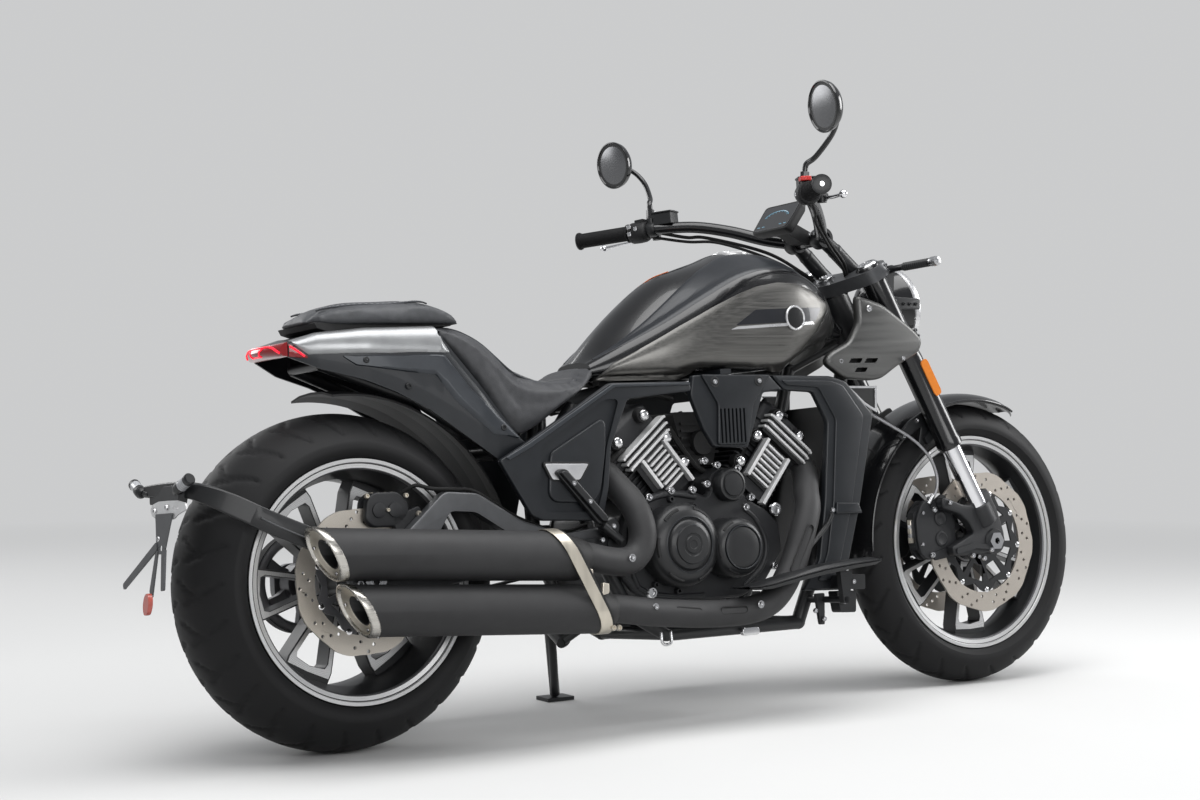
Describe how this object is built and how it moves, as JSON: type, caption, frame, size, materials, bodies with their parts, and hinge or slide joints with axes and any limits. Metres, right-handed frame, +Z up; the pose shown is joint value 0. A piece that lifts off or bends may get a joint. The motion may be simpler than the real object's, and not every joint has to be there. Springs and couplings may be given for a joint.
{
  "type": "power cruiser motorcycle",
  "caption": "Long, low V-twin power cruiser motorcycle resting on its side stand, with steering fork, rolling wheels, folding stand and opening filler cap.",
  "frame": {"origin": "on the floor, under the middle of the bounding box", "axes": "+X forward, +Y to the rider's left, +Z up; the machine leans about 5.5 degrees to its left on its side stand"},
  "size_m": [2.342, 0.9043, 1.318],
  "materials": {
    "frame": "satin black",
    "tank": "gloss black",
    "tank_panels": "brushed gunmetal",
    "seat": "fine grain, stitched",
    "pillion": "fine grain, stitched",
    "tail": "satin grey",
    "tail_lamp": "clear red",
    "rear_fender": "moulded",
    "side_covers": "satin charcoal",
    "centre_covers": "satin charcoal",
    "front_arch": "satin charcoal",
    "scoops": "brushed grey",
    "radiator": "matt black",
    "crankcase": "satin black casting",
    "engine_covers": "gloss black",
    "cylinder_rear": "black with machined edges",
    "cylinder_front": "black with machined edges",
    "airbox": "moulded",
    "header_rear": "matt black",
    "header_front": "matt black",
    "silencers": "matt black",
    "silencer_ends": "brushed",
    "strap": "brushed, warm",
    "swingarm": "satin grey",
    "rear_axle": "turned",
    "rear_caliper": "satin black",
    "belt": "toothed",
    "plate_holder": "moulded, blank plate",
    "rear_indicators": "smoked",
    "pillion_pegs": "satin black",
    "foot_controls": "satin black",
    "triple_clamps": "satin black",
    "fork_legs": "gloss black",
    "fork_tubes": "hard chrome",
    "handlebar": "satin black",
    "bar_controls": "ribbed",
    "mirrors": "black housing",
    "dash": "dark screen",
    "headlight": "satin black",
    "front_fender": "gloss black",
    "front_indicators": "smoked",
    "front_axle": "turned",
    "front_calipers": "satin black",
    "front_rim": "gloss black with machined faces",
    "front_tyre": "road tread",
    "front_discs": "ground",
    "rear_rim": "gloss black with machined faces",
    "rear_tyre": "road tread",
    "rear_disc": "ground",
    "pulley": "anodised",
    "side_stand": "satin black",
    "filler_cap": "machined"
  },
  "bodies": {
    "chassis": {"frame": "frame", "tank": "tank", "tank_panels": "tank_panels", "seat": "seat", "pillion": "pillion", "tail": "tail", "tail_lamp": "tail_lamp", "rear_fender": "rear_fender", "side_covers": "side_covers", "centre_covers": "centre_covers", "front_arch": "front_arch", "scoops": "scoops", "radiator": "radiator", "crankcase": "crankcase", "engine_covers": "engine_covers", "cylinder_rear": "cylinder_rear", "cylinder_front": "cylinder_front", "airbox": "airbox", "header_rear": "header_rear", "header_front": "header_front", "silencers": "silencers", "silencer_ends": "silencer_ends", "strap": "strap", "swingarm": "swingarm", "rear_axle": "rear_axle", "rear_caliper": "rear_caliper", "belt": "belt", "plate_holder": "plate_holder", "rear_indicators": "rear_indicators", "pillion_pegs": "pillion_pegs", "foot_controls": "foot_controls"},
    "steering": {"triple_clamps": "triple_clamps", "fork_legs": "fork_legs", "fork_tubes": "fork_tubes", "handlebar": "handlebar", "bar_controls": "bar_controls", "mirrors": "mirrors", "dash": "dash", "headlight": "headlight", "front_fender": "front_fender", "front_indicators": "front_indicators", "front_axle": "front_axle", "front_calipers": "front_calipers"},
    "front_wheel": {"front_rim": "front_rim", "front_tyre": "front_tyre", "front_discs": "front_discs"},
    "rear_wheel": {"rear_rim": "rear_rim", "rear_tyre": "rear_tyre", "rear_disc": "rear_disc", "pulley": "pulley"},
    "side_stand": {"side_stand": "side_stand"},
    "filler_cap": {"filler_cap": "filler_cap"}
  },
  "joints": [
    {"name": "steering", "type": "hinge", "parent": "chassis", "child": "steering", "pos_m": [0.54283, -0.02513, 0.83215], "axis": [-0.4695, 0.0846, 0.8789], "range_deg": [-28, 28]},
    {"name": "front_wheel_spin", "type": "hinge", "parent": "steering", "child": "front_wheel", "pos_m": [0.851, -0.07455, 0.31883], "axis": [0, 0.9954, -0.0958], "continuous": true},
    {"name": "rear_wheel_spin", "type": "hinge", "parent": "chassis", "child": "rear_wheel", "pos_m": [-0.769, -0.07413, 0.32318], "axis": [0, 0.9954, -0.0958], "continuous": true},
    {"name": "side_stand_fold", "type": "hinge", "parent": "chassis", "child": "side_stand", "pos_m": [-0.169, 0.09813, 0.18202], "axis": [-0.0112, 0.8825, 0.4702], "range_deg": [0, 88]},
    {"name": "filler_cap_lid", "type": "hinge", "parent": "chassis", "child": "filler_cap", "pos_m": [0.279, -0.01142, 0.97447], "axis": [0, 0.9954, -0.0958], "range_deg": [0, 95]}
  ]
}
